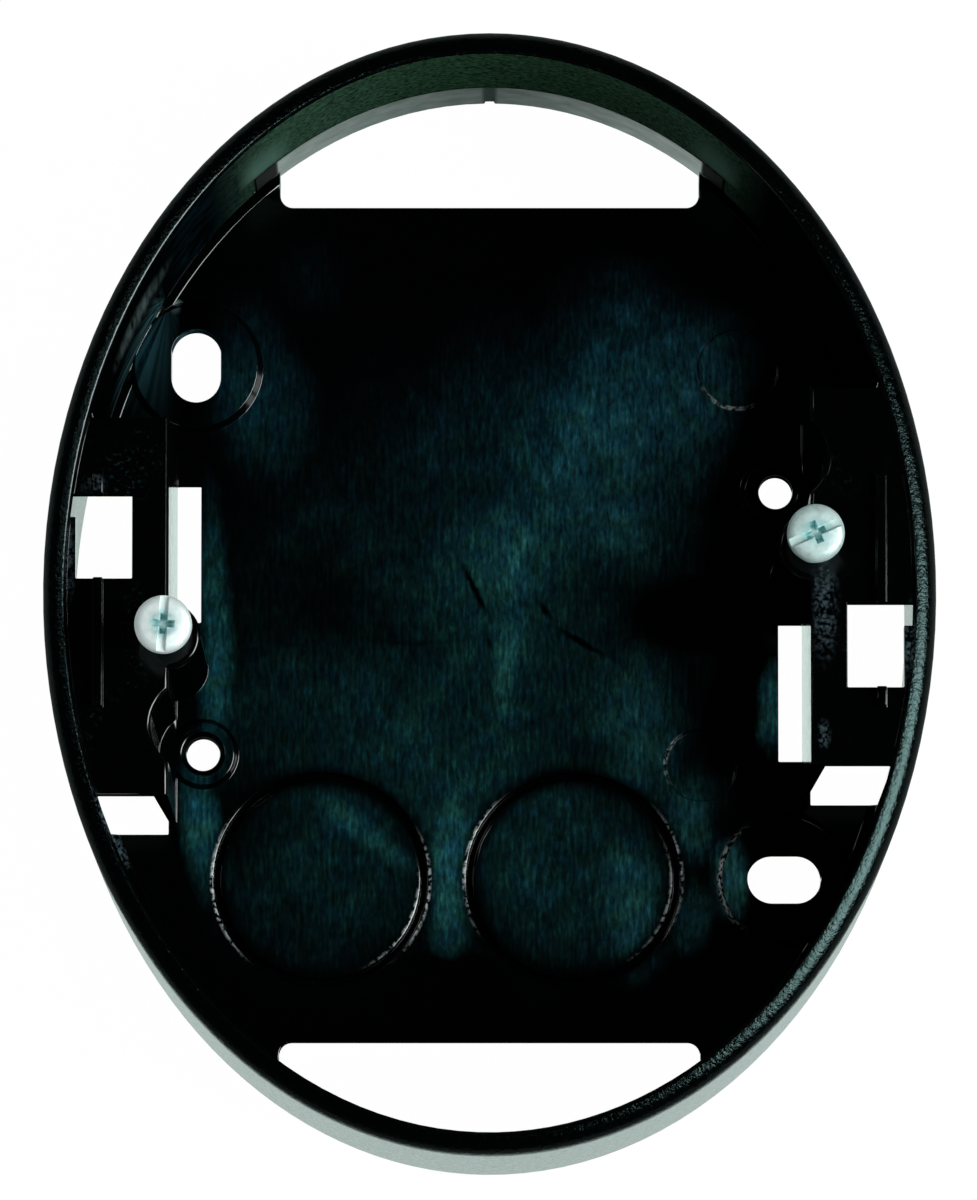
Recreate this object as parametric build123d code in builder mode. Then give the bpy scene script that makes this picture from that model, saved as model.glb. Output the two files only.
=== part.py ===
from build123d import *
import math
import os

os.makedirs("parts", exist_ok=True)

# Oval cup: open at the front (+Z), lying on its back at Z = 0, long axis along Y
rim_width = 83.0
rim_length = 105.0
box_height = 32.0
wall = 2.2
floor_thickness = 2.0
rim_round = 1.8
rim_bands = 5
rim_inner_chamfer = 0.3
back_chamfer = 0.4
corner_chamfer = 0.8

# Cable openings at both ends of the floor, with a scored break-out panel in the wall at each
opening_width = 40.0
opening_start = 39.95
opening_corner = 1.2
breakout_width = 44.8
breakout_height = 10.5
score_width = 0.3
score_depth = 0.15
notch_width = 0.9
notch_depth = 0.2
notch_height = 5.0

# Side ledges that carry the device plate, each over a pocket open at the back
ledge_edge = 29.8
ledge_short = 16.2
ledge_long = 19.0
ledge_drop = 0.4
ledge_plate = 2.0
pocket_edge = 30.5
pocket_draft = 0.7
pocket_relief = 0.3
pocket_overrun = 1.2
ledge_chamfer = 0.25

# Snap window in each ledge, and the rib that locates the device plate
window_edge = 33.2
window_outer = 38.45
window_near = 1.15
window_far = 9.0
catch_length = 2.1
rib_start = 35.9
rib_width = 0.9
rib_height = 1.2
rib_half_length = 10.8

# Core slit in the floor in front of each ledge
slit_width = 2.3
slit_start = 0.05
slit_length = 13.2

# Screw posts and the device screws standing part driven in them
post_pcd = 60.6
post_angle_deg = 8.0
post_r = 3.2
screw_r = 1.6
screw_clearance = 0.05
screw_length = 25.0
screw_stand_out = 9.0
screw_tip = 0.8
tip_room = 2.0
head_r = 2.65
head_height = 2.1
head_chamfer = 0.45
slot_width = 0.75
slot_depth = 0.9
recess_width = 0.9
recess_span = 2.9
recess_depth = 1.5
left_slot_deg = 86.0
right_slot_deg = 24.0

# Round fixing holes on the 60 mm circle
fixing_pcd = 60.0
fixing_angle_deg = 24.7
fixing_r = 1.6
fixing_boss_r = 3.35
fixing_boss_height = 0.8
countersink_r = 2.1
countersink_deg = 90.0
relief_r = 4.2
relief_skin = 1.0

# Wall slots on raised pads, one upright and one level
upright_slot = (-28.0, 24.6)
level_slot = (28.0, -24.5)
wall_slot_width = 4.7
wall_slot_length = 7.0
pad_r = 6.35
pad_height = 1.0
pad_slope_deg = 25.0

# Knock-outs and ejector marks in the floor
knockout_y = -24.5
knockout_mid_x = -4.05
knockout_spacing = 24.0
knockout_r = 10.2
knockout_groove = 0.7
knockout_web = 0.7
ejector_depth = 0.15
upper_ejector = (23.7, 24.4)
upper_ejector_r = 3.8
lower_ejector = (20.1, -13.6)
lower_ejector_r = 3.4

# Worked out from the above
half_x = rim_width / 2 - wall
half_y = rim_length / 2 - wall
seat = box_height - ledge_drop
ledge_length = ledge_long + ledge_short
ledge_mid = (ledge_long - ledge_short) / 2
pocket_length = ledge_length + 2 * pocket_overrun
pocket_height = seat - ledge_plate
corner_top = floor_thickness + corner_chamfer
window_length = window_far - window_near
window_mid = -(window_far + window_near) / 2
post_x = post_pcd / 2 * math.cos(math.radians(post_angle_deg))
post_y = post_pcd / 2 * math.sin(math.radians(post_angle_deg))
fixing_x = fixing_pcd / 2 * math.cos(math.radians(fixing_angle_deg))
fixing_y = fixing_pcd / 2 * math.sin(math.radians(fixing_angle_deg))
head_under = box_height + screw_stand_out
tip_z = head_under - screw_length
outward = rim_width / 2


def side_plane(turn, height=0.0):
    """Plane of one half of the box: the two halves are alike, half a turn apart."""
    return Plane.XY.rotated((0, 0, turn)).offset(height)


def within(x_from, x_to, y_mid, y_length):
    """Keep only the sketch inside a rectangle."""
    with Locations(((x_from + x_to) / 2, y_mid)):
        Rectangle(x_to - x_from, y_length, mode=Mode.INTERSECT)


def end_skin(x_from, x_to):
    """Sketch of the wall's inner skin at one end of the box, as deep as the score."""
    Ellipse(half_x + score_depth, half_y + score_depth)
    Ellipse(half_x - wall, half_y - wall, mode=Mode.SUBTRACT)
    within(x_from, x_to, outward, 2 * outward)


with BuildPart() as pocket_core:
    # Core that leaves the pocket under a ledge, drafted on the side of the skirt
    with BuildSketch():
        Ellipse(half_x + pocket_relief, half_y + pocket_relief)
    extrude(amount=pocket_height)
    with BuildSketch(Plane.XZ.offset(-ledge_mid)):
        with BuildLine():
            Polyline(
                (pocket_edge, 0),
                (rim_width, 0),
                (rim_width, pocket_height),
                (pocket_edge + pocket_draft, pocket_height),
                close=True,
            )
        make_face()
    extrude(amount=pocket_length / 2, both=True, mode=Mode.INTERSECT)


with BuildPart() as back_box:
    # Cup with a crowned rim, made of narrow bands, and its other edges broken
    with BuildSketch():
        Ellipse(rim_width / 2, rim_length / 2)
    extrude(amount=box_height - rim_round)
    for band in range(rim_bands + 1):
        tilt = math.radians(90 * band / rim_bands)
        inset = rim_round * (1 - math.cos(tilt))
        with BuildSketch(Plane.XY.offset(box_height - rim_round * (1 - math.sin(tilt)))):
            Ellipse(rim_width / 2 - inset, rim_length / 2 - inset)
    loft(ruled=True)
    with BuildSketch(Plane.XY.offset(floor_thickness)):
        Ellipse(half_x, half_y)
    extrude(amount=box_height, mode=Mode.SUBTRACT)
    chamfer(back_box.edges().group_by(Axis.Z)[-1].sort_by(SortBy.LENGTH)[0], length=rim_inner_chamfer)
    chamfer(back_box.edges().group_by(Axis.Z)[0], length=back_chamfer)
    chamfer(back_box.faces().filter_by(Axis.Z).sort_by(Axis.Z)[1].edges(), length=corner_chamfer)

    # Raised pads and bosses with sloping sides on the floor
    with BuildSketch(Plane.XY.offset(floor_thickness)):
        with Locations(upright_slot, level_slot):
            Circle(pad_r)
    extrude(amount=pad_height, taper=pad_slope_deg)
    with BuildSketch(Plane.XY.offset(floor_thickness)):
        with Locations((fixing_x, fixing_y), (-fixing_x, -fixing_y)):
            Circle(fixing_boss_r)
    extrude(amount=fixing_boss_height, taper=pad_slope_deg)

    for turn, catch_mid in ((0, -window_near - catch_length / 2), (180, catch_length / 2 - window_far)):
        # Ledge block with its pocket from the back, then the screw post and the skin of the relief in it
        with BuildSketch(side_plane(turn)):
            Ellipse(half_x + wall / 2, half_y + wall / 2)
            within(ledge_edge, rim_width, ledge_mid, ledge_length)
        extrude(amount=seat)
        add(pocket_core.part, rotation=(0, 0, turn), mode=Mode.SUBTRACT)
        with BuildSketch(side_plane(turn)):
            with Locations((fixing_x, fixing_y)):
                Circle(relief_r + relief_skin)
            within(ledge_edge, rim_width, fixing_y, 3 * relief_r)
            with Locations((post_x, post_y)):
                Circle(post_r)
        extrude(amount=seat)

        # Snap window through the ledge plate, with the way in for a catch at its upper end
        with BuildSketch(side_plane(turn)):
            Ellipse(half_x + pocket_relief, half_y + pocket_relief)
            within(window_edge, rim_width, catch_mid, catch_length)
            with Locations(((window_edge + window_outer) / 2, window_mid)):
                Rectangle(window_outer - window_edge, window_length)
        extrude(amount=seat, mode=Mode.SUBTRACT)

        # Locating rib, broken by the window
        with BuildSketch(side_plane(turn, seat)):
            with Locations((rib_start + rib_width / 2, 0)):
                Rectangle(rib_width, 2 * rib_half_length)
            with Locations((rib_start + rib_width / 2, window_mid)):
                Rectangle(2 * rib_width, window_length, mode=Mode.SUBTRACT)
        extrude(amount=rib_height)

        # Room for a screwdriver over the fixing hole
        with BuildSketch(side_plane(turn, floor_thickness + fixing_boss_height)):
            with Locations((fixing_x, fixing_y)):
                Circle(relief_r)
        extrude(amount=box_height, mode=Mode.SUBTRACT)
        with Locations(side_plane(turn, floor_thickness + fixing_boss_height)):
            with Locations((fixing_x, fixing_y)):
                CounterSinkHole(fixing_r, countersink_r, counter_sink_angle=countersink_deg)

        # Inner edge of the ledge broken, round the post and the relief
        across = Axis((0, 0, 0), side_plane(turn).x_dir)
        seat_edges = back_box.edges().filter_by_position(Axis.Z, seat - 0.01, seat + 0.01)
        inner_edge = seat_edges.filter_by_position(across, ledge_edge - 2 * post_r, window_edge - rib_width)
        chamfer(inner_edge, length=ledge_chamfer)

        # Blind hole for the device screw
        with BuildSketch(side_plane(turn, seat)):
            with Locations((post_x, post_y)):
                Circle(screw_r + screw_clearance)
        extrude(amount=tip_z - tip_room - seat, mode=Mode.SUBTRACT)

        # Core slit in front of the ledge
        with BuildSketch(side_plane(turn)):
            with Locations((ledge_edge - slit_width / 2, -slit_start - slit_length / 2)):
                Rectangle(slit_width, slit_length)
        extrude(amount=floor_thickness, mode=Mode.SUBTRACT)

        # Cable opening in the floor, flush with the wall
        with BuildSketch(side_plane(turn)) as opening:
            Ellipse(half_x, half_y)
            within(-opening_width / 2, opening_width / 2, opening_start + outward, 2 * outward)
            fillet(opening.vertices().sort_by(Axis.Y)[:2], radius=opening_corner)
        extrude(amount=corner_top, mode=Mode.SUBTRACT)

        # Break-out panel: scored along its top and both ends, and notched in the middle of its foot
        with BuildSketch(side_plane(turn, breakout_height)):
            end_skin(-breakout_width / 2, breakout_width / 2)
        extrude(amount=score_width, mode=Mode.SUBTRACT)
        for score_x in (-breakout_width / 2, breakout_width / 2):
            with BuildSketch(side_plane(turn, corner_top)):
                end_skin(score_x - score_width / 2, score_x + score_width / 2)
            extrude(amount=breakout_height + score_width - corner_top, mode=Mode.SUBTRACT)
        with BuildSketch(side_plane(turn)):
            with Locations((0, half_y)):
                Rectangle(notch_width, 2 * notch_depth)
        extrude(amount=notch_height, mode=Mode.SUBTRACT)

    # Wall slots
    with BuildSketch(Plane.XY):
        with Locations(Location(upright_slot, 90), Location(level_slot, 0)):
            SlotOverall(wall_slot_length, wall_slot_width)
    extrude(amount=floor_thickness + pad_height, mode=Mode.SUBTRACT)

    # Knock-out grooves and ejector marks
    with BuildSketch(Plane.XY.offset(floor_thickness)):
        with Locations((knockout_mid_x, knockout_y)):
            with GridLocations(knockout_spacing, 0, 2, 1):
                Circle(knockout_r)
                Circle(knockout_r - knockout_groove, mode=Mode.SUBTRACT)
    extrude(amount=knockout_web - floor_thickness, mode=Mode.SUBTRACT)
    with BuildSketch(Plane.XY.offset(floor_thickness)):
        with Locations(upper_ejector):
            Circle(upper_ejector_r)
        with Locations(lower_ejector):
            Circle(lower_ejector_r)
    extrude(amount=-ejector_depth, mode=Mode.SUBTRACT)

back_box.part.label = "back_box"


with BuildPart() as device_screws:
    for turn, slot_deg in ((0, right_slot_deg), (180, left_slot_deg)):
        # Shank with a tapered tip, then the head
        with BuildSketch(side_plane(turn, tip_z)):
            with Locations((post_x, post_y)):
                Circle(screw_r)
        shank = extrude(amount=screw_length)
        chamfer(shank.faces().sort_by(Axis.Z)[0].edges(), length=screw_tip)
        with BuildSketch(side_plane(turn, head_under)):
            with Locations((post_x, post_y)):
                Circle(head_r)
        head = extrude(amount=head_height)
        chamfer(head.faces().sort_by(Axis.Z)[-1].edges(), length=head_chamfer)

        # Slot right across, and the cross recess in its middle
        with BuildSketch(side_plane(turn, head_under + head_height)):
            with Locations(Location((post_x, post_y), slot_deg)):
                Rectangle(3 * head_r, slot_width)
        extrude(amount=-slot_depth, mode=Mode.SUBTRACT)
        with BuildSketch(side_plane(turn, head_under + head_height)):
            with Locations(Location((post_x, post_y), slot_deg)):
                Rectangle(recess_span, recess_width)
                Rectangle(recess_width, recess_span)
        extrude(amount=-recess_depth, mode=Mode.SUBTRACT)

device_screws.part.label = "device_screws"

export_step(back_box.part, "parts/back_box.step")
export_step(device_screws.part, "parts/device_screws.step")
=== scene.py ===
import math

import bmesh
import bpy
from mathutils import Matrix, Vector


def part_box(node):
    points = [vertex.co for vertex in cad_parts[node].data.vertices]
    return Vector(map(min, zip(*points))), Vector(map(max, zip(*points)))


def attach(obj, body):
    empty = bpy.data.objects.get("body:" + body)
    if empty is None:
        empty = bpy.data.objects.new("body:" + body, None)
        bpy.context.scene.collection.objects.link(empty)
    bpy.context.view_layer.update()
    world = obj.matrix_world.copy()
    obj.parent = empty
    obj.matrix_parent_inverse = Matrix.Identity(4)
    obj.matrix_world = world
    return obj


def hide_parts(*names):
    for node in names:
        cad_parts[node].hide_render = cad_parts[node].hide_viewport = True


MM = 0.001

# Moulding, in mm: what the finishes and the edge rounding need to know of it
WALL = 2.2
FLOOR_TOP = 2.0
OPENING_WIDTH = 40.0
BREAKOUT_HEIGHT = 10.5
BREAKOUT_WIDTH = 44.8
LEFT_KNOCKOUT = (-16.05, -24.5)
RIGHT_KNOCKOUT = (7.95, -24.5)
KNOCKOUTS = (LEFT_KNOCKOUT, RIGHT_KNOCKOUT)
KNOCKOUT_R = 10.2
KNOCKOUT_GROOVE = 0.7
UPPER_EJECTOR = (23.7, 24.4)
LOWER_EJECTOR = (20.1, -13.6)
LEVEL_SLOT_PAD = (28.0, -24.5)

# Meshes: moulded radius on the sharp edges and distances at which points merge or lie together, in mm,
# folds from which an edge is rounded or shaded sharp, in degrees
EDGE_ROUND = 0.1
GROOVE_ROUND = 0.2
ROUND_SEGMENTS = 2
GROOVE_SLACK = 0.1
SAME_HEIGHT = 0.01
BOX_MERGE = 0.002
TURNED_MERGE = 0.001
ROUNDED_FOLD = 28.0
BOX_SHARP_FOLD = 30.0
SCREW_SHARP_FOLD = 35.0

# Limits that sort the moulding's faces: the part of a normal that makes a face level or upright, how far out
# a face on the wall or outside it is (1 on the wall's inner face), and how near the floor one is, in mm
LEVEL = 0.99
UPRIGHT = 0.1
ON_WALL = 0.004
OUTSIDE_WALL = 1.006
FLOOR_BAND = 1.1

# Device screws, in mm and degrees
SCREW_CIRCLE = 60.6
SCREW_ANGLE = 8.0
HEAD_RADIUS = 2.65
HEAD_HEIGHT = 2.1
HEAD_CROWN = ((0.75, 0.0), (0.3, 0.12), (0.06, 0.4), (0.0, 0.75))
HEAD_CHAMFER = 0.2
THREAD_RADIUS = 1.6
CORE_RADIUS = 1.22
THREAD_PITCH = 1.0
THREAD_SINK = 0.1
PLAIN_LENGTH = 2.0
TIP_LENGTH = 1.2
TIP_RADIUS = 0.35
SLOT_WIDTH = 0.85
SLOT_DEPTH = 0.45
CROSS_SPAN = 3.0
CROSS_WIDTH = 0.95
CROSS_DEPTH = 1.4
CROSS_TAPER = 0.45
LEFT_SLOT_TURN = 266.0
RIGHT_SLOT_TURN = 24.0

# Where the thread's crest starts and ends and its flank ends, as shares of the pitch
CREST_START = 0.42
CREST_END = 0.52
FLANK_END = 0.94

# Steps of a turned head and of one turn of thread
HEAD_STEPS = 64
THREAD_STEPS = 24

# Grain of the finishes, in repeats per metre, and its coarse part as shares of the fine one
FLOOR_GRAIN = 2600.0
POLISHED_GRAIN = 900.0
WALL_GRAIN = 2200.0
RIM_GRAIN = 2600.0
PANEL_GRAIN = 1400.0
ZINC_GRAIN = 1500.0
COARSE_REPEATS = 0.23
COARSE_HEIGHT = 0.6

# Colours of the black moulding
BLACK = (0.0002, 0.0003, 0.0004, 1)
# Painted sheen on the floor, in its blue and its green
SHEEN_BLUE = (0.013, 0.152, 0.226, 1)
SHEEN_GREEN = (0.0235, 0.180, 0.160, 1)
FLOOR_FAN = (0.014, 0.046, 0.054, 1)
# Painted glint at the foot of the fan
FAN_FOOT_GLINT = (0.4, 0.5, 0.47, 1)
# Painted highlight along round edges
EDGE_HIGHLIGHT = (0.6, 0.66, 0.66, 1)
DUST = (0.003, 0.009, 0.009, 1)
# Painted reflections in pale flecks on the ledges and the window walls
FLECK_REFLECTION = (0.05, 0.078, 0.092, 1)
WALL_BLACK = (0.0003, 0.0006, 0.0006, 1)
# Painted green reflection of the opening on the upper end of the wall
END_REFLECTION_GREEN = (0.020, 0.062, 0.026, 1)
END_SIDE_REFLECTION_GREEN = (0.05, 0.110, 0.075, 1)
WALL_VEIL = (0.0015, 0.006, 0.009, 1)
WALL_FAN = (0.035, 0.09, 0.1, 1)
# Painted reflection on the wall over the fan, pale and in upright streaks
WALL_REFLECTION = (0.075, 0.105, 0.105, 1)
# Painted reflection in the corners beside the upper break-out panel
CORNER_REFLECTION = (0.055, 0.11, 0.087, 1)
RIM_DARK = (0.0001, 0.0002, 0.0002, 1)
RIM_LIGHT = (0.0004, 0.0008, 0.0008, 1)
RIM_GLOSS = (0.6, 1.0, 0.96, 1)
# Painted green sheen on the break-out panel
PANEL_SHEEN_DARK = (0.004, 0.02, 0.013, 1)
PANEL_SHEEN_LIGHT = (0.009, 0.036, 0.024, 1)
PANEL_SIDE = (0.0006, 0.0015, 0.0013, 1)

# Colours of the screws' zinc, the plate's as its darker and its lighter grain; the right screw's is a darker copy,
# as painted shade
LEFT_ZINC = ((0.83, 0.96, 0.94, 1), (0.94, 0.99, 0.98, 1))
SHADED_RIGHT_ZINC = ((0.45, 0.58, 0.56, 1), (0.60, 0.74, 0.72, 1))
MIDDLE_TEAL = (0.34, 0.58, 0.58, 1)
# Painted blue shade down in a head's recess, and the lighter middle of the recess
RECESS_SHADE_BLUE = (0.34, 0.62, 0.63, 1)
RECESS_BOTTOM = (0.8, 1.0, 0.99, 1)

# Gloss of the finishes: roughness in the hollows and on the tops of the grain, or from clear to hazed on the floor
# and from the middle to the sides of the panel, then specular levels and how metallic the zinc is
FLOOR_ROUGHNESS = (0.1, 0.2)
POLISHED_ROUGHNESS = (0.09, 0.15)
WALL_ROUGHNESS = (0.5, 0.7)
RIM_ROUGHNESS = (0.08, 0.2)
OUTSIDE_DULLNESS = 0.08
PANEL_ROUGHNESS = (0.6, 0.26)
NOTCH_ROUGHNESS = 0.95
ZINC_ROUGHNESS = (0.46, 0.6)
WALL_SPECULAR = 0.0
RIM_SPECULAR = 0.3
PANEL_SPECULAR = 0.24
ZINC_METALLIC = 0.6

# Bands in mm over which a finish sets in or fades out, on the floor along Y and X, and how far it turns blue
FLOOR_BLUE = (3, 30)
FLOOR_BLUE_SHARE = 0.6
FLOOR_FAN_SIDE = (-32.5, -29.5)

# On the inside of the wall, along Y and across, with the share of the side's painted green that the middle has
END_RISE = (37, 44)
END_SIDE = (6, 26)
END_MIDDLE_SHARE = 0.3
VEIL_TOP = (44, 37)
VEIL_FOOT = (31, 34)
VEIL_SIDE = (10, 0)
WALL_FAN_TOP = (31, 30)

# At the painted reflections in the corners beside the upper break-out panel, across, up and along Y
CORNER_INNER = (18.6, 20.4)
CORNER_OUTER = (23.8, 22.2)
CORNER_FOOT = (11, 12.5)
CORNER_TOP = (27, 16)
CORNER_END = (30, 36)

# Below the top of the rim, with the share of its grain's depth that the outside has
CROWN_LOW = 3.2
CROWN_HIGH = 1.2
OUTSIDE_SHARE = 0.25

# On the break-out panel, beside its opening and round the notch in its middle
PANEL_END = (OPENING_WIDTH / 2, OPENING_WIDTH / 2 + 0.4)
PANEL_HALF = (0, BREAKOUT_WIDTH / 2)
NOTCH_SIDE = (0.4, 1.5)

# On a screw's head, out from its axis, and down into its recess
MIDDLE_TEAL_OUT = (0.9, 1.6)
RECESS_OUT = (1.2, 1.7)
RECESS_MIDDLE = (0.2, 0.7)
RECESS_DEPTH = (-0.9, -0.15)

# Streaks that fan out at the upright slot, a painted glint at their foot, and a painted reflection on the wall
# over them, in mm
FAN_START = (-30.6, 30.6, 3.0)
FAN_FADE = (0.5, 14.0)
GLINT_SPOT = (-30.0, 30.1, 2.0)
GLINT_SPOT_REACH = 1.2
WALL_REFLECTION_SPOT = (-33.0, 27.3, 20.0)
WALL_REFLECTION_REACH = 7.0
WALL_REFLECTION_STRETCH = (1100.0, 1100.0, 90.0)

# Painted sheen and painted shade on the moulded floor: sum of the patches that counts as full, how far the
# clouds and the rings round the knock-outs are pushed about and a ring's band of painted shade reaches (mm),
# the sheen left in such a band, the stretch of the streaks, and the level
SHEEN_TOP = 4.5
CLOUD_PUSH = 4.5
RING_PUSH = 2.0
GROOVE_SHADE_FADE = (0.5, 1.5)
SHEEN_IN_GROOVE_SHADE = 0.1
LONG_STREAKS = (2600.0, 430.0, 1.0)
SHORT_STREAKS = (3400.0, 1300.0, 1.0)
SHEEN_LEVEL = -0.12

# Painted sheen where the strength is above 0, painted shade in the shade and wedge patches; the gate patches are
# flow marks
# Sheen and shade patches: name, centre x and y, half sizes across and along, turn, strength (mm, degrees)
SHEEN_AND_SHADE_PATCHES = (
    ("field", 0.0, -4.0, 32.0, 36.0, 0, 0.20),
    ("lower_field", -8.0, -11.0, 22.0, 11.0, 0, 0.15),
    ("left_low_field", -20.0, -8.0, 7.0, 8.0, 0, 0.10),
    ("above_discs", -4.0, -15.0, 6.0, 6.0, 0, 0.18),
    ("upper_right_fan", 12.0, 17.5, 11.0, 18.0, -30, 0.80),
    ("right_fan", 18.6, 21.5, 8.0, 12.0, -20, 0.90),
    ("left_of_fan", 4.0, 18.0, 14.0, 14.0, 0, 0.18),
    ("top_right_edge", 13.0, 29.0, 10.0, 8.0, 0, 0.20),
    ("right_band", 14.0, 9.5, 7.5, 7.0, 0, 0.45),
    ("gate_glow", 0.5, 3.5, 9.5, 11.0, 0, 0.36),
    ("gate_core", 2.0, 7.5, 5.0, 5.0, 0, 0.25),
    ("gate_streak", 2.2, -1.5, 1.8, 11.0, -3, 0.50),
    ("lower_right_patch", 14.6, -9.5, 6.0, 9.0, 0, 0.75),
    ("ejector_glow", 19.0, -16.5, 5.0, 4.5, 0, 0.42),
    ("between_knockouts", -4.2, -24.0, 3.6, 11.0, 0, 1.20),
    ("left_disc", -16.6, -25.4, 13.0, 11.5, 0, 0.21),
    ("left_disc_streak", -11.6, -20.2, 1.7, 7.4, 50, 0.70),
    ("right_disc", 9.0, -25.3, 12.0, 11.5, 0, 0.38),
    ("right_disc_edge", 13.8, -27.2, 4.4, 8.5, 8, 1.25),
    ("right_of_discs", 19.3, -19.8, 3.0, 4.2, 0, 1.20),
    ("low_right_of_discs", 19.2, -27.8, 2.6, 4.4, 0, 1.20),
    ("lower_right_pad", 22.8, -24.5, 2.4, 4.6, 0, 3.20),
    ("left_strip", -26.0, -1.0, 2.1, 17.0, 2, 0.70),
    ("lower_left_patch", -27.4, -20.0, 2.6, 8.5, 9, 1.35),
    ("upper_left_glow", -21.8, 22.0, 6.0, 11.0, 10, 0.28),
    ("top_left_disc", -16.7, 33.0, 4.8, 4.8, 0, 0.05),
    ("pad_glow", -32.6, 25.4, 3.0, 6.0, -25, 0.15),
    ("right_slit_glow", 27.2, -8.0, 2.4, 6.0, 0, 2.60),
    ("right_shade", 28.0, 7.0, 8.0, 19.0, 0, -0.80),
    ("right_wedge", 20.0, 0.8, 9.0, 4.6, 0, -0.42),
    ("middle_left_shade", -14.0, 1.0, 8.0, 8.0, 0, -0.10),
    ("below_gap_shade", -4.0, -35.0, 7.0, 4.0, 0, -0.60),
    ("right_low_shade", 23.2, -10.0, 3.0, 6.0, 0, -0.50),
    ("gate_slash", -1.6, 3.4, 0.6, 4.0, 27, -0.60),
    ("gate_nick", 0.0, -1.8, 0.7, 1.5, 25, -0.35),
    ("gate_hook", 4.9, 1.0, 0.7, 1.8, 40, -0.40),
    ("gate_tail", 8.8, -2.3, 0.5, 5.5, 66, -0.20),
    ("gate_line", -7.0, -1.8, 0.5, 7.5, 91, -0.10),
    ("fan_fleck", 15.3, 18.8, 0.9, 1.2, 0, -0.55),
)

# Painted reflections and highlights in pale flecks on the ledges and in the windows, stated in the same way
FLECK_REFLECTION_PATCHES = (
    ("right_ledge_reflection", 31.1, -1.6, 1.7, 6.4, 0, 1.00),
    ("right_fleck", 31.0, -13.4, 0.8, 1.8, 0, 1.40),
    ("right_wall_fleck", 39.0, -5.0, 0.9, 5.0, 0, 1.20),
    ("left_wall_fleck", -39.0, 3.0, 0.8, 5.0, 0, 0.70),
    ("left_rib_fleck", -36.8, 10.0, 1.6, 1.2, 0, 0.80),
    ("left_window_fleck", -35.6, -21.0, 0.9, 3.4, 28, 2.00),
)

# Painted highlights on round edges: name, centre, radius, half width, heading of the arc's middle, its reach,
# strength (mm, degrees)
BESIDE_GROOVE = 0.15
OUTER_RING = KNOCKOUT_R + BESIDE_GROOVE
INNER_RING = KNOCKOUT_R - KNOCKOUT_GROOVE - BESIDE_GROOVE
HIGHLIGHT_ARCS = (
    ("left_ring_left", LEFT_KNOCKOUT, OUTER_RING, 0.28, 185, 8.5, 0.75),
    ("left_ring_right", LEFT_KNOCKOUT, OUTER_RING, 0.28, -10, 7.5, 0.6),
    ("left_ring_right_inner", LEFT_KNOCKOUT, INNER_RING, 0.28, -28, 6.5, 0.6),
    ("right_ring_left", RIGHT_KNOCKOUT, OUTER_RING, 0.28, 170, 8.0, 0.65),
    ("right_ring_right", RIGHT_KNOCKOUT, OUTER_RING, 0.28, 5, 7.5, 0.55),
    ("right_ring_right_inner", RIGHT_KNOCKOUT, INNER_RING, 0.28, -15, 7.5, 0.55),
    ("upper_ejector", UPPER_EJECTOR, 3.8, 0.3, 245, 3.6, 0.9),
    ("lower_ejector", LOWER_EJECTOR, 3.4, 0.28, 165, 3.4, 0.6),
    ("level_slot_pad", LEVEL_SLOT_PAD, 6.15, 0.34, 178, 6.5, 0.8),
)

# Stage, the table: its half size and its gap under the box in m, its colours, and where it shows in gloss, with
# the oval's outline as 1
TABLE_HALF = 1.5
TABLE_GAP = 0.02 * MM
TABLE_WHITE = (0.9, 0.9, 0.9, 1)
TABLE_UNSEEN = (0.02, 0.02, 0.02, 1)
TABLE_IN_GLOSS = (0.84, 1.0, 0.95, 1)
TABLE_GLOW_SHARE = 0.99
TABLE_FRONT = (-0.9, -0.5)
TABLE_FRONT_REACH = 0.6
TABLE_GLOSS_FADE = 0.12
TABLE_GLOSS_FAR = 0.08

# Lamps as azimuth, elevation (degrees), distance, width, height (m) and power (W), and the room, whose strength
# in gloss falls from the level to the height where it is darkest
LAMP_COLOUR = (0.95, 1.0, 1.0)
RIGHT_SOFTBOX = (-14.0, 46.0, 0.7, 0.34, 0.42, 5.4)
LEFT_SOFTBOX = (150.0, 62.0, 0.7, 0.08, 0.08, 0.1)
ROOM_COLOUR = (0.93, 1.0, 0.99, 1)
ROOM_FILL = 0.65
ROOM_GLOSS = (0.03, 0.004)
ROOM_DARK_FROM = 0.8

# Camera: focal length in pixels of the photograph, sensor and target and distance in mm, clipping in m
PHOTO_HEIGHT = 1200
FOCAL_PIXELS = 11814.47
SENSOR_WIDTH = 36.0
CAMERA_TARGET = (-0.103, -0.916, 32.0)
CAMERA_ELEVATION = 84.0
CAMERA_DISTANCE = 1095.93
CAMERA_NEAR = 0.1
CAMERA_FAR = 10.0

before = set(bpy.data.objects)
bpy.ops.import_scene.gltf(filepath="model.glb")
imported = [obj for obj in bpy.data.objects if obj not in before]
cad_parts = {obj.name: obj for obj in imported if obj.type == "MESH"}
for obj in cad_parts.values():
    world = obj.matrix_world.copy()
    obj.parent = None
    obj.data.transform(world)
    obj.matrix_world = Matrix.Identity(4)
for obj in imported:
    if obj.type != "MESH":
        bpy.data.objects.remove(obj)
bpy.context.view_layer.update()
box_low, box_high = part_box("back_box")
screw_low, screw_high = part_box("device_screws")


# Helpers for node trees

def add_node(tree, kind, inputs=None, **settings):
    """A new node with its settings made and its input sockets set or linked."""
    made = tree.nodes.new(kind)
    for name, value in settings.items():
        setattr(made, name, value)
    for socket, value in (inputs or {}).items():
        if isinstance(value, bpy.types.NodeSocket):
            tree.links.new(value, made.inputs[socket])
        else:
            made.inputs[socket].default_value = value
    return made


def maths(tree, operation, first, second=0.0, clamp=False):
    inputs = {0: first, 1: second}
    return add_node(tree, "ShaderNodeMath", inputs, operation=operation, use_clamp=clamp).outputs[0]


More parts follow.
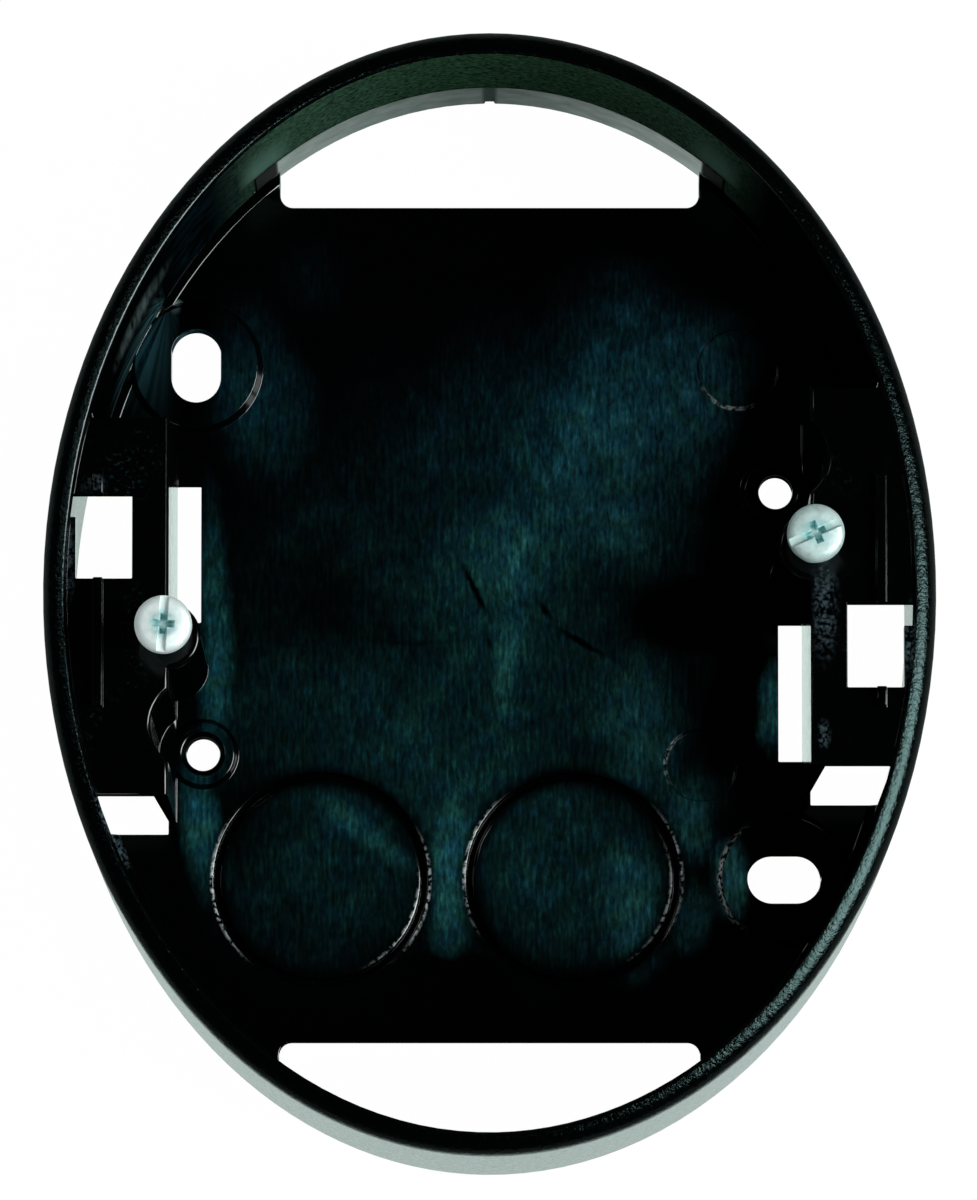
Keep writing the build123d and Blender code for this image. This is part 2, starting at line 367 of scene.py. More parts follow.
def product(tree, first, *others):
    """Product of masks."""
    for other in others:
        first = maths(tree, "MULTIPLY", first, other)
    return first


def spread(tree, value, low, high, to_low=0.0, to_high=1.0, kind="LINEAR"):
    """Maps a value from one range to another."""
    inputs = {"Value": value, "From Min": low, "From Max": high, "To Min": to_low, "To Max": to_high}
    return add_node(tree, "ShaderNodeMapRange", inputs, interpolation_type=kind).outputs["Result"]


def fade(tree, value, band, to_start=0.0, to_end=1.0, kind="LINEAR"):
    """Maps a length from a band in mm to another range."""
    start, end = band
    return spread(tree, value, start * MM, end * MM, to_start, to_end, kind)


def between(tree, mask, ends):
    """A value from the first end to the second as a mask goes from 0 to 1."""
    return spread(tree, mask, 0.0, 1.0, *ends)


def vector_maths(tree, operation, *operands):
    """Vector arithmetic: gives a number for a distance or a length, and a vector otherwise."""
    made = add_node(tree, "ShaderNodeVectorMath", dict(enumerate(operands)), operation=operation)
    return made.outputs["Value" if operation in ("DISTANCE", "LENGTH") else "Vector"]


def flattened(tree, vector):
    """A vector with its height taken out."""
    return vector_maths(tree, "MULTIPLY", vector, (1, 1, 0))


def pushed(tree, vector, direction, amount):
    """A vector pushed along a direction, in mm."""
    push = add_node(tree, "ShaderNodeVectorMath", {0: direction, "Scale": amount * MM}, operation="SCALE")
    return vector_maths(tree, "ADD", vector, push.outputs["Vector"])


def along_axes(tree, vector):
    """The X, Y and Z of a vector."""
    return add_node(tree, "ShaderNodeSeparateXYZ", {0: vector}).outputs


def stretched(tree, vector, scale):
    return add_node(tree, "ShaderNodeMapping", {"Vector": vector, "Scale": scale}).outputs["Vector"]


def noise(tree, vector, scale, detail, roughness=0.5):
    inputs = {"Vector": vector, "Scale": scale, "Detail": detail, "Roughness": roughness}
    return add_node(tree, "ShaderNodeTexNoise", inputs).outputs


def colour_mix(tree, factor, first, second):
    made = add_node(tree, "ShaderNodeMix", data_type="RGBA")
    tree.links.new(factor, made.inputs[0])
    for socket, value in ((made.inputs[6], first), (made.inputs[7], second)):
        if isinstance(value, bpy.types.NodeSocket):
            tree.links.new(value, socket)
        else:
            socket.default_value = value
    return made.outputs[2]


def new_material(name):
    """A node material with one Principled shader, and the object's coordinates to place patterns by."""
    material = bpy.data.materials.new(name)
    material.use_nodes = True
    tree = material.node_tree
    place = add_node(tree, "ShaderNodeTexCoord").outputs["Object"]
    return material, tree, tree.nodes["Principled BSDF"], place


def dress(tree, shader, colour, roughness, height, strength, depth):
    """Gives a shader its colour, its roughness and its bump, the bump's depth in mm."""
    inputs = {"Strength": strength, "Distance": depth * MM, "Height": height}
    bump = add_node(tree, "ShaderNodeBump", inputs)
    tree.links.new(colour, shader.inputs["Base Color"])
    tree.links.new(roughness, shader.inputs["Roughness"])
    tree.links.new(bump.outputs["Normal"], shader.inputs["Normal"])


def fade_ball(tree, vector, middle, reach):
    """A round spot that fades out from its middle over a reach (mm)."""
    off = vector_maths(tree, "DISTANCE", vector, Vector(middle) * MM)
    return fade(tree, off, (0, reach), 1.0, 0.0, "SMOOTHSTEP")


# Effects shared by the finishes, each a node group

def start_group(name, inputs, outputs):
    """A new node group with its sockets, which are numbers apart from Vector."""
    group = bpy.data.node_groups.new(name, "ShaderNodeTree")
    for names, direction in ((inputs, "INPUT"), (outputs, "OUTPUT")):
        for socket in names:
            kind = "NodeSocketVector" if socket == "Vector" else "NodeSocketFloat"
            group.interface.new_socket(socket, in_out=direction, socket_type=kind)
    start = group.nodes.new("NodeGroupInput")
    end = group.nodes.new("NodeGroupOutput")
    return group, start.outputs, end.inputs


def place_group(tree, group, vector):
    """A node group placed in a material."""
    made = tree.nodes.new("ShaderNodeGroup")
    made.node_tree = group
    tree.links.new(vector, made.inputs["Vector"])
    return made


def build_moulding_grain():
    """Height and speckle of a moulded surface, at a stated grain size."""
    group, start, end = start_group("moulding_grain", ("Vector", "Fineness"), ("Height", "Speckle"))
    fine = noise(group, start["Vector"], start["Fineness"], detail=3.0, roughness=0.6)["Fac"]
    coarse_scale = maths(group, "MULTIPLY", start["Fineness"], COARSE_REPEATS)
    coarse = noise(group, start["Vector"], coarse_scale, detail=2.0)["Fac"]
    height = maths(group, "ADD", fine, maths(group, "MULTIPLY", coarse, COARSE_HEIGHT))
    group.links.new(height, end["Height"])
    group.links.new(spread(group, fine, 0.3, 0.7), end["Speckle"])
    return group


def build_streak_fan():
    """Streaks that spread from the foot of the wall at the upright slot, fading out over their reach."""
    group, start, end = start_group("streak_fan", ("Vector",), ("Streaks",))
    spoke = vector_maths(group, "SUBTRACT", start["Vector"], Vector(FAN_START) * MM)
    away = vector_maths(group, "LENGTH", spoke)
    rays = noise(group, vector_maths(group, "NORMALIZE", spoke), scale=7.0, detail=3.0)["Fac"]
    near = fade(group, away, FAN_FADE, 1.0, 0.0, "SMOOTHSTEP")
    group.links.new(product(group, spread(group, rays, 0.38, 0.64), near), end["Streaks"])
    return group


def build_highlight_arcs():
    """Broken painted highlights along parts of the round edges in the floor."""
    group, start, end = start_group("highlight_arcs", ("Vector",), ("Lines",))
    flat = flattened(group, start["Vector"])
    total = 0.0
    for name, (x, y), radius, half_width, heading, reach, strength in HIGHLIGHT_ARCS:
        centre = Vector((x, y, 0))
        off = add_node(group, "ShaderNodeVectorMath", {0: flat, 1: centre * MM}, operation="DISTANCE", label=name)
        from_line = maths(group, "ABSOLUTE", maths(group, "SUBTRACT", off.outputs["Value"], radius * MM))
        line = fade(group, from_line, (0, half_width), strength, 0.0, "SMOOTHSTEP")
        turn = math.radians(heading)
        middle = centre + radius * Vector((math.cos(turn), math.sin(turn), 0))
        total = maths(group, "ADD", product(group, line, fade_ball(group, flat, middle, reach)), total)
    dots = noise(group, start["Vector"], scale=2300.0, detail=1.0)["Fac"]
    lines = maths(group, "MULTIPLY", total, spread(group, dots, 0.42, 0.62), clamp=True)
    group.links.new(lines, end["Lines"])
    return group


moulding_grain = build_moulding_grain()
streak_fan = build_streak_fan()
highlight_arcs = build_highlight_arcs()


def grain(tree, vector, fineness):
    made = place_group(tree, moulding_grain, vector)
    made.inputs["Fineness"].default_value = fineness
    return made.outputs["Height"], made.outputs["Speckle"]


def patch_sum(tree, vector, patches):
    """Sum of soft oval patches seen from above."""
    total = 0.0
    for name, x, y, across, along, turn, strength in patches:
        place = add_node(tree, "ShaderNodeMapping", {
            "Vector": vector,
            "Location": (x * MM, y * MM, 0),
            "Rotation": (0, 0, math.radians(turn)),
            "Scale": (across * MM, along * MM, 1.0),
        }, vector_type="TEXTURE", label=name)
        ball = add_node(tree, "ShaderNodeTexGradient", {"Vector": place.outputs[0]}, gradient_type="SPHERICAL")
        soft = spread(tree, ball.outputs["Fac"], 0.0, 0.9, 0.0, strength, "SMOOTHSTEP")
        total = maths(tree, "ADD", soft, total)
    return total


def painted_sheen_and_shade(tree, vector):
    """Painted sheen and painted shade in cloudy patches on the floor, fanning out from the gate, with fine streaks
    along the box.
    """
    swirl = noise(tree, vector, scale=75.0, detail=6.0, roughness=0.62)["Color"]
    drift = vector_maths(tree, "SUBTRACT", swirl, (0.5, 0.5, 0.5))
    total = patch_sum(tree, pushed(tree, vector, drift, CLOUD_PUSH), SHEEN_AND_SHADE_PATCHES)
    flat = flattened(tree, pushed(tree, vector, drift, RING_PUSH))
    # Painted shade: the sheen is cleared in a band along each knock-out groove
    groove_middle = (KNOCKOUT_R - KNOCKOUT_GROOVE / 2) * MM
    for x, y in KNOCKOUTS:
        off = vector_maths(tree, "DISTANCE", flat, (x * MM, y * MM, 0))
        from_groove = maths(tree, "ABSOLUTE", maths(tree, "SUBTRACT", off, groove_middle))
        total = product(tree, total, fade(tree, from_groove, GROOVE_SHADE_FADE, SHEEN_IN_GROOVE_SHADE, 1.0))
    unevenness = SHEEN_LEVEL
    for place, scale, detail, swing in (
        (vector, 160.0, 5.0, 0.45),
        (vector, 450.0, 3.0, 0.3),
        (stretched(tree, vector, LONG_STREAKS), 1.0, 3.0, 0.7),
        (stretched(tree, vector, SHORT_STREAKS), 1.0, 2.0, 0.5),
    ):
        cloud = spread(tree, noise(tree, place, scale, detail)["Fac"], 0.3, 0.7, -swing, swing)
        unevenness = maths(tree, "ADD", cloud, unevenness)
    speckled = product(tree, total, maths(tree, "EXPONENT", unevenness))
    return maths(tree, "DIVIDE", speckled, SHEEN_TOP, clamp=True)


# Finishes of the black moulding and of the screws

def floor_plastic():
    """Black plastic with the matt bloom that the mould's floor leaves under a painted sheen and painted shade,
    bluer toward the upper end.
    """
    material, tree, shader, place = new_material("sheened_black_plastic")
    where = along_axes(tree, place)
    height, _ = grain(tree, place, FLOOR_GRAIN)
    sheen_and_shade = painted_sheen_and_shade(tree, place)
    up = fade(tree, where["Y"], FLOOR_BLUE, 0.0, FLOOR_BLUE_SHARE)
    tints = spread(tree, noise(tree, place, scale=480.0, detail=4.0)["Fac"], 0.36, 0.64, 0.1, 1.1)
    tint = maths(tree, "SUBTRACT", tints, up, clamp=True)
    # The painted sheen and shade, from black to the sheen's blue and green
    sheened = colour_mix(tree, sheen_and_shade, BLACK, colour_mix(tree, tint, SHEEN_BLUE, SHEEN_GREEN))
    beside_wall = fade(tree, where["X"], FLOOR_FAN_SIDE, 1.0, 0.0)
    fan = product(tree, place_group(tree, streak_fan, place).outputs["Streaks"], beside_wall)
    fanned = colour_mix(tree, fan, sheened, FLOOR_FAN)
    # Painted glint at the foot of the fan
    glinted = colour_mix(tree, fade_ball(tree, place, GLINT_SPOT, GLINT_SPOT_REACH), fanned, FAN_FOOT_GLINT)
    # Painted highlights along the round edges
    edged = colour_mix(tree, place_group(tree, highlight_arcs, place).outputs["Lines"], glinted, EDGE_HIGHLIGHT)
    roughness = spread(tree, sheen_and_shade, 0.0, 0.5, *FLOOR_ROUGHNESS)
    dress(tree, shader, edged, roughness, height, strength=0.12, depth=0.02)
    return material


def polished_plastic():
    """Black plastic straight off the polished mould, with a trace of dust in it and painted reflections in pale
    flecks.
    """
    material, tree, shader, place = new_material("polished_black_plastic")
    height, speckle = grain(tree, place, POLISHED_GRAIN)
    grit = spread(tree, noise(tree, place, scale=2400.0, detail=1.0)["Fac"], 0.58, 0.72)
    drift = spread(tree, noise(tree, place, scale=130.0, detail=2.0)["Fac"], 0.55, 0.7)
    dusty = colour_mix(tree, product(tree, grit, drift), BLACK, DUST)
    flecks = spread(tree, noise(tree, place, scale=2800.0, detail=2.0)["Fac"], 0.42, 0.85)
    # Painted reflections in pale flecks
    reflection_flecks = maths(tree, "MULTIPLY", patch_sum(tree, place, FLECK_REFLECTION_PATCHES), flecks, clamp=True)
    reflection_flecked = colour_mix(tree, reflection_flecks, dusty, FLECK_REFLECTION)
    # Painted highlights along the round edges
    edged = colour_mix(tree, place_group(tree, highlight_arcs, place).outputs["Lines"], reflection_flecked, EDGE_HIGHLIGHT)
    dress(tree, shader, edged, between(tree, speckle, POLISHED_ROUGHNESS), height, strength=0.06, depth=0.02)
    return material


def grained_plastic():
    """The fine erosion grain on the inside of the wall, painted green at the upper end as a reflection, streaked
    at the left, with painted reflections over the streaks and in the corners by the upper panel.
    """
    material, tree, shader, place = new_material("grained_black_plastic")
    where = along_axes(tree, place)
    across = maths(tree, "ABSOLUTE", where["X"])
    height, speckle = grain(tree, place, WALL_GRAIN)
    end = fade(tree, where["Y"], END_RISE, kind="SMOOTHSTEP")
    # Painted green reflection at the upper end of the wall
    painted_green = colour_mix(tree, fade(tree, across, END_SIDE, END_MIDDLE_SHARE, 1.0), END_REFLECTION_GREEN, END_SIDE_REFLECTION_GREEN)
    speckled = colour_mix(tree, product(tree, speckle, end), WALL_BLACK, painted_green)
    clouds = spread(tree, noise(tree, place, scale=350.0, detail=4.0)["Fac"], 0.4, 0.7)
    veil = product(
        tree,
        fade(tree, where["Y"], VEIL_TOP),
        fade(tree, where["Y"], VEIL_FOOT),
        fade(tree, where["X"], VEIL_SIDE),
        clouds,
    )
    veiled = colour_mix(tree, veil, speckled, WALL_VEIL)
    below_top = fade(tree, where["Y"], WALL_FAN_TOP)
    fan = product(tree, place_group(tree, streak_fan, place).outputs["Streaks"], below_top)
    fanned = colour_mix(tree, fan, veiled, WALL_FAN)
    # Painted reflection on the wall over the fan, in upright streaks
    upright = noise(tree, stretched(tree, place, WALL_REFLECTION_STRETCH), scale=1.0, detail=4.0)["Fac"]
    wall_reflection = product(tree, fade_ball(tree, place, WALL_REFLECTION_SPOT, WALL_REFLECTION_REACH), spread(tree, upright, 0.35, 0.7))
    reflected = colour_mix(tree, wall_reflection, fanned, WALL_REFLECTION)
    # Painted reflection in the corners beside the upper break-out panel
    corner = product(
        tree,
        fade(tree, across, CORNER_INNER),
        fade(tree, across, CORNER_OUTER),
        fade(tree, where["Z"], CORNER_FOOT),
        fade(tree, where["Z"], CORNER_TOP),
        fade(tree, where["Y"], CORNER_END),
    )
    cornered = colour_mix(tree, corner, reflected, CORNER_REFLECTION)
    dress(tree, shader, cornered, between(tree, speckle, WALL_ROUGHNESS), height, strength=0.5, depth=0.05)
    shader.inputs["Specular IOR Level"].default_value = WALL_SPECULAR
    return material


def satin_plastic():
    """Black plastic with the eroded grain of the rim, shallower and duller on the outside."""
    material, tree, shader, place = new_material("satin_black_plastic")
    height, speckle = grain(tree, place, RIM_GRAIN)
    black = colour_mix(tree, speckle, RIM_DARK, RIM_LIGHT)
    low, high = box_high.z - CROWN_LOW * MM, box_high.z - CROWN_HIGH * MM
    crown = spread(tree, along_axes(tree, place)["Z"], low, high, OUTSIDE_SHARE, 1.0)
    dull = spread(tree, crown, OUTSIDE_SHARE, 1.0, OUTSIDE_DULLNESS, 0.0)
    roughness = maths(tree, "ADD", between(tree, speckle, RIM_ROUGHNESS), dull)
    dress(tree, shader, black, roughness, height, strength=crown, depth=0.065)
    shader.inputs["Specular IOR Level"].default_value = RIM_SPECULAR
    shader.inputs["Specular Tint"].default_value = RIM_GLOSS
    return material


def panel_plastic():
    """The smoother break-out panel over each cable opening, dulled toward its middle, with a painted green sheen.
    """
    material, tree, shader, place = new_material("panel_black_plastic")
    height, speckle = grain(tree, place, PANEL_GRAIN)
    across = maths(tree, "ABSOLUTE", along_axes(tree, place)["X"])
    beside = fade(tree, across, PANEL_END)
    # Painted green sheen
    painted_green = colour_mix(tree, speckle, PANEL_SHEEN_DARK, PANEL_SHEEN_LIGHT)
    dull = fade(tree, across, PANEL_HALF, *PANEL_ROUGHNESS)
    clouds = spread(tree, noise(tree, place, scale=420.0, detail=4.0)["Fac"], 0.3, 0.7, 0.9, 1.15)
    notch = fade(tree, across, NOTCH_SIDE, NOTCH_ROUGHNESS, 0.0)
    roughness = maths(tree, "MAXIMUM", product(tree, dull, clouds), maths(tree, "MAXIMUM", beside, notch))
    dress(tree, shader, colour_mix(tree, beside, painted_green, PANEL_SIDE), roughness, height, strength=0.15, depth=0.03)
    shader.inputs["Specular IOR Level"].default_value = PANEL_SPECULAR
    return material


def zinc_plate(name, axis, dark, light):
    """Bright zinc, clouded teal across the middle and a little bluish, with painted blue shade down in the recess
    of the head.
    """
    material, tree, shader, place = new_material(name)
    height, speckle = grain(tree, place, ZINC_GRAIN)
    off = vector_maths(tree, "SUBTRACT", place, (axis.x, axis.y, screw_high.z))
    out = vector_maths(tree, "LENGTH", flattened(tree, off))
    cloud = noise(tree, place, scale=1300.0, detail=3.0, roughness=0.6)["Fac"]
    mottle = spread(tree, cloud, 0.36, 0.64, 0.25, 1.0)
    middle = fade(tree, out, MIDDLE_TEAL_OUT, 1.0, 0.0, "SMOOTHSTEP")
    plate = colour_mix(tree, speckle, dark, light)
    clouded = colour_mix(tree, product(tree, middle, mottle), plate, MIDDLE_TEAL)
    sunk = fade(tree, along_axes(tree, off)["Z"], RECESS_DEPTH, 1.0, 0.0)
    recess = product(tree, sunk, fade(tree, out, RECESS_OUT, 1.0, 0.0))
    bottom = fade(tree, out, RECESS_MIDDLE, 1.0, 0.0)
    # Painted blue shade down in the recess, lighter at its middle
    sunken = colour_mix(tree, recess, clouded, colour_mix(tree, bottom, RECESS_SHADE_BLUE, RECESS_BOTTOM))
    dress(tree, shader, sunken, between(tree, speckle, ZINC_ROUGHNESS), height, strength=0.1, depth=0.02)
    shader.inputs["Metallic"].default_value = ZINC_METALLIC
    return material


# Pieces

def finish_piece(shape, name, materials, node, sharp_fold):
    """Turns a bmesh into a piece of the object that stands for a CAD node."""
    mesh = bpy.data.meshes.new(name)
    shape.to_mesh(mesh)
    shape.free()
    for material in materials:
        mesh.materials.append(material)
    mesh.shade_smooth()
    mesh.set_sharp_from_angle(angle=math.radians(sharp_fold))
    piece = bpy.data.objects.new(name, mesh)
    bpy.context.collection.objects.link(piece)
    flats = piece.modifiers.new("flat_faces_stay_flat", "WEIGHTED_NORMAL")
    flats.keep_sharp = True
    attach(piece, "root")
    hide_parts(node)


# Slot numbers of the moulding's finishes
POLISHED, FLOOR, GRAINED, PANEL, SATIN = range(5)


def inside_ellipse(point):
    """How far out a point is: 1 on the inner face of the wall."""
    half_x = box_high.x - WALL * MM
    half_y = box_high.y - WALL * MM
    return math.hypot(point.x / half_x, point.y / half_y)


def box_finish(face):
    """Slot number of a face's finish."""
    centre = face.calc_center_median()
    reach = inside_ellipse(centre)
    if reach > OUTSIDE_WALL:
        return SATIN
    if face.normal.z > LEVEL and abs(centre.z - FLOOR_TOP * MM) < FLOOR_BAND * MM:
        return FLOOR
    if abs(face.normal.z) > UPRIGHT:
        return POLISHED
    inward = face.normal.dot(Vector((centre.x, centre.y, 0))) < 0
    if inward and abs(reach - 1.0) < ON_WALL:
        panel = centre.z < BREAKOUT_HEIGHT * MM and abs(centre.x) < BREAKOUT_WIDTH / 2 * MM
        return PANEL if panel else GRAINED
    skirt = abs(face.normal.x) > LEVEL
    return POLISHED if skirt else GRAINED


def on_groove(edge):
    """Whether an edge is an upper edge of a knock-out's groove."""
    middle = (edge.verts[0].co + edge.verts[1].co) / 2
    if abs(middle.z - FLOOR_TOP * MM) > SAME_HEIGHT * MM:
        return False
    nearest = min(math.hypot(middle.x - x * MM, middle.y - y * MM) for x, y in KNOCKOUTS)
    inner, outer = KNOCKOUT_R - KNOCKOUT_GROOVE - GROOVE_SLACK, KNOCKOUT_R + GROOVE_SLACK
    return inner * MM < nearest < outer * MM


def moulded_box():
    """The CAD moulding with its finishes, and with the moulded radius on its sharp edges."""
    shape = bmesh.new()
    shape.from_mesh(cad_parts["back_box"].data)
    bmesh.ops.remove_doubles(shape, verts=shape.verts, dist=BOX_MERGE * MM)
    for face in shape.faces:
        face.material_index = box_finish(face)
    sharp = [edge for edge in shape.edges if edge.calc_face_angle(0.0) > math.radians(ROUNDED_FOLD)]
    grooves = [edge for edge in sharp if on_groove(edge)]
    others = [edge for edge in sharp if not on_groove(edge)]
    for edges, size in ((others, EDGE_ROUND), (grooves, GROOVE_ROUND)):
        bmesh.ops.bevel(shape, geom=edges, offset=size * MM, offset_type="OFFSET", segments=ROUND_SEGMENTS,
                        profile=0.5, affect="EDGES", clamp_overlap=False, material=-1)
    finishes = (polished_plastic(), floor_plastic(), grained_plastic(), panel_plastic(), satin_plastic())
    finish_piece(shape, "moulded_box", finishes, "back_box", BOX_SHARP_FOLD)


def turned(points, steps):
    """A closed turned shape from its half outline, (radius, height) in mm from top to bottom on the axis."""
    shape = bmesh.new()
    corners = [shape.verts.new((radius * MM, 0, height * MM)) for radius, height in points]
    outline = [shape.edges.new(pair) for pair in zip(corners, corners[1:])]
    bmesh.ops.spin(shape, geom=corners + outline, cent=(0, 0, 0), axis=(0, 0, 1), angle=math.tau, steps=steps,
                   use_merge=True)
    bmesh.ops.remove_doubles(shape, verts=shape.verts, dist=TURNED_MERGE * MM)
    bmesh.ops.recalc_face_normals(shape, faces=shape.faces)
    return shape


def block(size, middle, taper=1.0):
    """A block in mm, its lower end narrowed by the taper."""
    shape = bmesh.new()
    bmesh.ops.create_cube(shape, size=1.0)
    low = [corner for corner in shape.verts if corner.co.z < 0]
    bmesh.ops.scale(shape, verts=low, vec=(taper, taper, 1.0))
    bmesh.ops.scale(shape, verts=shape.verts, vec=Vector(size) * MM)
    bmesh.ops.translate(shape, verts=shape.verts, vec=Vector(middle) * MM)
    return shape


def carved(shape, tools):
    """A closed shape with closed tools cut out of it."""
    made = []
    for part in (shape, *tools):
        mesh = bpy.data.meshes.new("carving")
        part.to_mesh(mesh)
        part.free()
        made.append(bpy.data.objects.new("carving", mesh))
        bpy.context.collection.objects.link(made[-1])
    for tool in made[1:]:
        cut = made[0].modifiers.new("cut", "BOOLEAN")
        cut.operation = "DIFFERENCE"
        cut.solver = "EXACT"
        cut.object = tool
    bpy.context.view_layer.update()
    result = bmesh.new()
    result.from_object(made[0], bpy.context.evaluated_depsgraph_get())
    for part in made:
        bpy.data.objects.remove(part)
    return result


def wind_thread(shape, length):
    """Adds a thread of a length in mm round the core of a screw, from its tip up."""
    turns = length / THREAD_PITCH
    steps = int(turns * THREAD_STEPS)
    ridge = []
    for radius, share in (
        (CORE_RADIUS - THREAD_SINK, 0.0),
        (THREAD_RADIUS, CREST_START),
        (THREAD_RADIUS, CREST_END),
        (CORE_RADIUS - THREAD_SINK, FLANK_END),
    ):
        ridge.append(shape.verts.new((radius * MM, 0, (TIP_LENGTH + share * THREAD_PITCH) * MM)))
    flanks = [shape.edges.new(pair) for pair in zip(ridge, ridge[1:])]
    bmesh.ops.spin(shape, geom=ridge + flanks, cent=(0, 0, 0), axis=(0, 0, 1), angle=turns * math.tau, steps=steps,
                   dvec=(0, 0, turns * THREAD_PITCH * MM / steps))


def device_screw(name, side, slot_turn, zinc):
    """A slotted cross-recess screw with its thread, standing part driven in its post."""
    length = (screw_high.z - screw_low.z) / MM
    under = length - HEAD_HEIGHT
    crown = [(HEAD_RADIUS - inset, length - drop) for inset, drop in HEAD_CROWN]
    blank = turned([
        (0, length), *crown, (HEAD_RADIUS, under + HEAD_CHAMFER), (HEAD_RADIUS - HEAD_CHAMFER, under),
        (CORE_RADIUS, under), (CORE_RADIUS, TIP_LENGTH), (TIP_RADIUS, 0.0), (0, 0),
    ], HEAD_STEPS)
    shape = carved(blank, (
        block((3 * HEAD_RADIUS, SLOT_WIDTH, 2 * SLOT_DEPTH), (0, 0, length)),
        block((CROSS_SPAN, CROSS_WIDTH, 2 * CROSS_DEPTH), (0, 0, length), CROSS_TAPER),
        block((CROSS_WIDTH, CROSS_SPAN, 2 * CROSS_DEPTH), (0, 0, length), CROSS_TAPER),
    ))
    wind_thread(shape, under - PLAIN_LENGTH)
    angle = math.radians(SCREW_ANGLE) + (0 if side > 0 else math.pi)
    reach = SCREW_CIRCLE / 2 * MM
    foot = Vector((reach * math.cos(angle), reach * math.sin(angle), screw_low.z))
    turn = Matrix.Rotation(math.radians(slot_turn), 4, "Z")
    bmesh.ops.transform(shape, matrix=Matrix.Translation(foot) @ turn, verts=shape.verts)
    plate = zinc_plate(name + "_zinc", foot, *zinc)
    finish_piece(shape, name, (plate,), "device_screws", SCREW_SHARP_FOLD)


moulded_box()
# The right screw in the darker copy of the zinc, as painted shade
device_screw("right_device_screw", 1, RIGHT_SLOT_TURN, SHADED_RIGHT_ZINC)
device_screw("left_device_screw", -1, LEFT_SLOT_TURN, LEFT_ZINC)


# Stage: a white table, a dim room, a large soft box at the right and a faint small one at the left

def table_finish():
    """White to the eye, white in gloss close round the box and dark beyond, with a faint shadow."""
    material = bpy.data.materials.new("white_table")
    material.use_nodes = True
    tree = material.node_tree
    tree.nodes.clear()
    rays = add_node(tree, "ShaderNodeLightPath").outputs
    place = add_node(tree, "ShaderNodeTexCoord").outputs["Object"]
    oval = vector_maths(tree, "MULTIPLY", place, (1 / box_high.x, 1 / box_high.y, 0))
    front = spread(tree, along_axes(tree, oval)["Y"], *TABLE_FRONT, 1.0, 0.0)
    edge = maths(tree, "ADD", maths(tree, "MULTIPLY", front, TABLE_FRONT_REACH), 1.0)
    beyond = maths(tree, "SUBTRACT", vector_maths(tree, "LENGTH", oval), edge)
    lit = spread(tree, beyond, 0.0, TABLE_GLOSS_FADE, 1.0, TABLE_GLOSS_FAR, "SMOOTHSTEP")
    gloss = product(tree, rays["Is Glossy Ray"], lit)
    seen = maths(tree, "MAXIMUM", rays["Is Camera Ray"], gloss)
    seen = maths(tree, "MAXIMUM", seen, rays["Is Transmission Ray"])
    unseen = maths(tree, "SUBTRACT", rays["Is Glossy Ray"], gloss)
    colour = colour_mix(tree, unseen, TABLE_WHITE, TABLE_UNSEEN)
    matt = add_node(tree, "ShaderNodeBsdfDiffuse", {"Color": colour})
    glow = colour_mix(tree, rays["Is Glossy Ray"], (1, 1, 1, 1), TABLE_IN_GLOSS)
    white = add_node(tree, "ShaderNodeEmission", {"Color": glow, "Strength": 1.0})
    mixed = add_node(tree, "ShaderNodeMixShader", {
        0: maths(tree, "MULTIPLY", seen, TABLE_GLOW_SHARE),
        1: matt.outputs[0],
        2: white.outputs[0],
    })
    add_node(tree, "ShaderNodeOutputMaterial", {"Surface": mixed.outputs[0]})
    return material


def white_table():
    """Plain table just under the box."""
    shape = bmesh.new()
    bmesh.ops.create_grid(shape, x_segments=1, y_segments=1, size=TABLE_HALF)
    bmesh.ops.translate(shape, verts=shape.verts, vec=(0, 0, box_low.z - TABLE_GAP))
    mesh = bpy.data.meshes.new("white_table")
    shape.to_mesh(mesh)
    shape.free()
    mesh.materials.append(table_finish())
    table = bpy.data.objects.new("white_table", mesh)
    bpy.context.collection.objects.link(table)


def from_angles(azimuth, elevation):
    """Direction that leaves the box at an azimuth and an elevation, in degrees."""
    around, up = math.radians(azimuth), math.radians(elevation)
    return Vector((math.cos(around) * math.cos(up), math.sin(around) * math.cos(up), math.sin(up)))


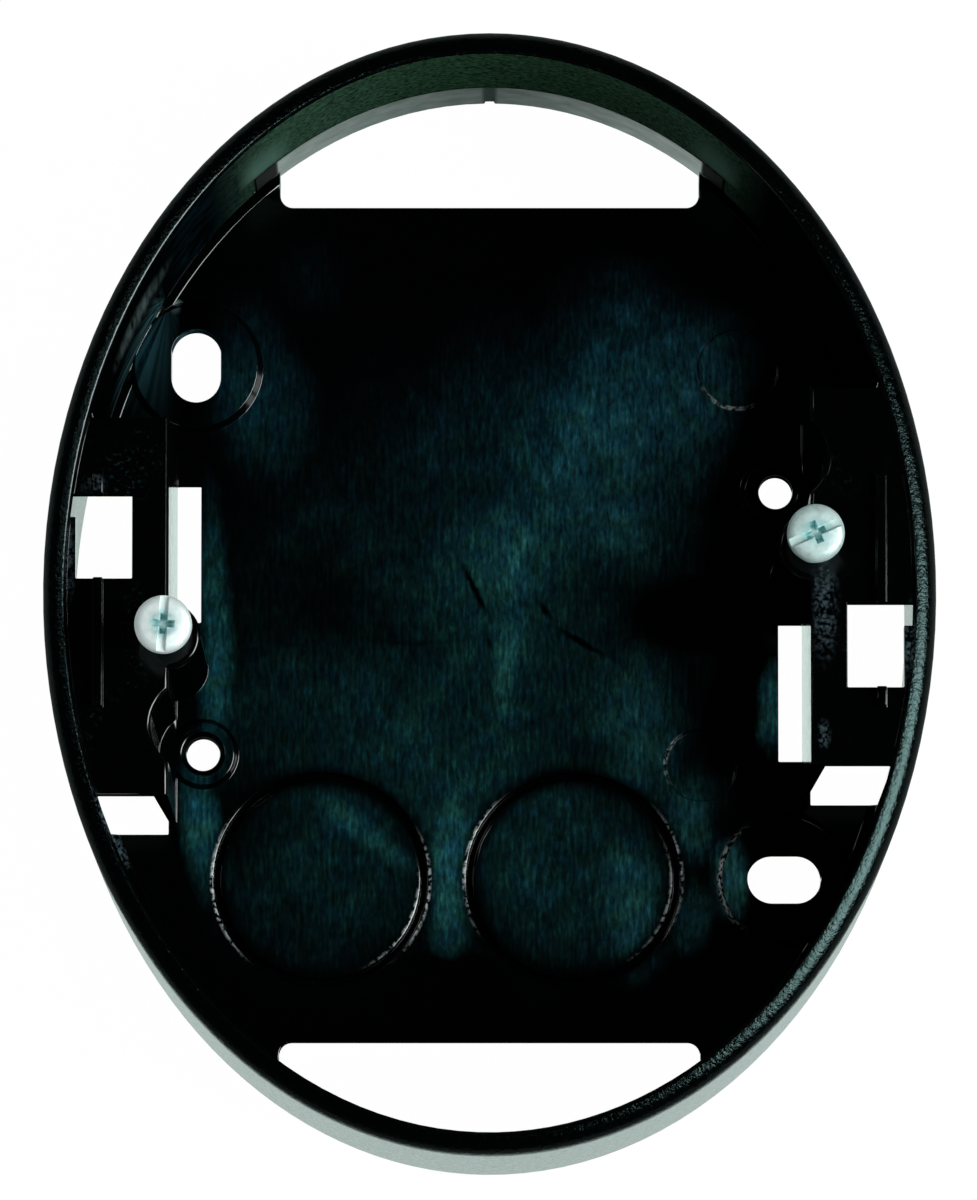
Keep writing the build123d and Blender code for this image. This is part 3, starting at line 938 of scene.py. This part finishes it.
def soft_box(name, azimuth, elevation, distance, width, height, power):
    """Area lamp that faces the middle of the box."""
    lamp = bpy.data.lights.new(name, "AREA")
    lamp.shape = "RECTANGLE"
    lamp.size = width
    lamp.size_y = height
    lamp.energy = power
    lamp.color = LAMP_COLOUR
    holder = bpy.data.objects.new(name, lamp)
    bpy.context.collection.objects.link(holder)
    away = from_angles(azimuth, elevation)
    holder.location = away * distance
    holder.rotation_mode = "QUATERNION"
    holder.rotation_quaternion = away.to_track_quat("Z", "Y")


def studio_world():
    """Room that fills the shade softly, yet stays dim and darkest overhead in gloss, so flat black stays black."""
    world = bpy.data.worlds.new("studio")
    bpy.context.scene.world = world
    world.use_nodes = True
    tree = world.node_tree
    room = tree.nodes["Background"]
    direction = add_node(tree, "ShaderNodeTexCoord").outputs["Generated"]
    gloss = spread(tree, along_axes(tree, direction)["Z"], 0.0, ROOM_DARK_FROM, *ROOM_GLOSS, "SMOOTHSTEP")
    diffuse = add_node(tree, "ShaderNodeLightPath").outputs["Is Diffuse Ray"]
    strength = maths(tree, "ADD", gloss, maths(tree, "MULTIPLY", diffuse, ROOM_FILL))
    tree.links.new(strength, room.inputs["Strength"])
    room.inputs["Color"].default_value = ROOM_COLOUR


def photo_camera():
    """The photograph's view: 1.1 m away, nearly square to the open front."""
    lens = bpy.data.cameras.new("photo_camera")
    lens.sensor_fit = "AUTO"
    lens.sensor_width = SENSOR_WIDTH
    lens.lens = FOCAL_PIXELS * SENSOR_WIDTH / PHOTO_HEIGHT
    lens.clip_start = CAMERA_NEAR
    lens.clip_end = CAMERA_FAR
    camera = bpy.data.objects.new("photo_camera", lens)
    bpy.context.collection.objects.link(camera)
    tilt = math.radians(CAMERA_ELEVATION)
    away = Vector((0, -math.cos(tilt), math.sin(tilt)))
    camera.location = Vector(CAMERA_TARGET) * MM + away * CAMERA_DISTANCE * MM
    camera.rotation_mode = "QUATERNION"
    camera.rotation_quaternion = away.to_track_quat("Z", "Y")
    bpy.context.scene.camera = camera


white_table()
soft_box("right_softbox", *RIGHT_SOFTBOX)
soft_box("left_softbox", *LEFT_SOFTBOX)
studio_world()
photo_camera()
bpy.context.scene.view_settings.view_transform = "Standard"
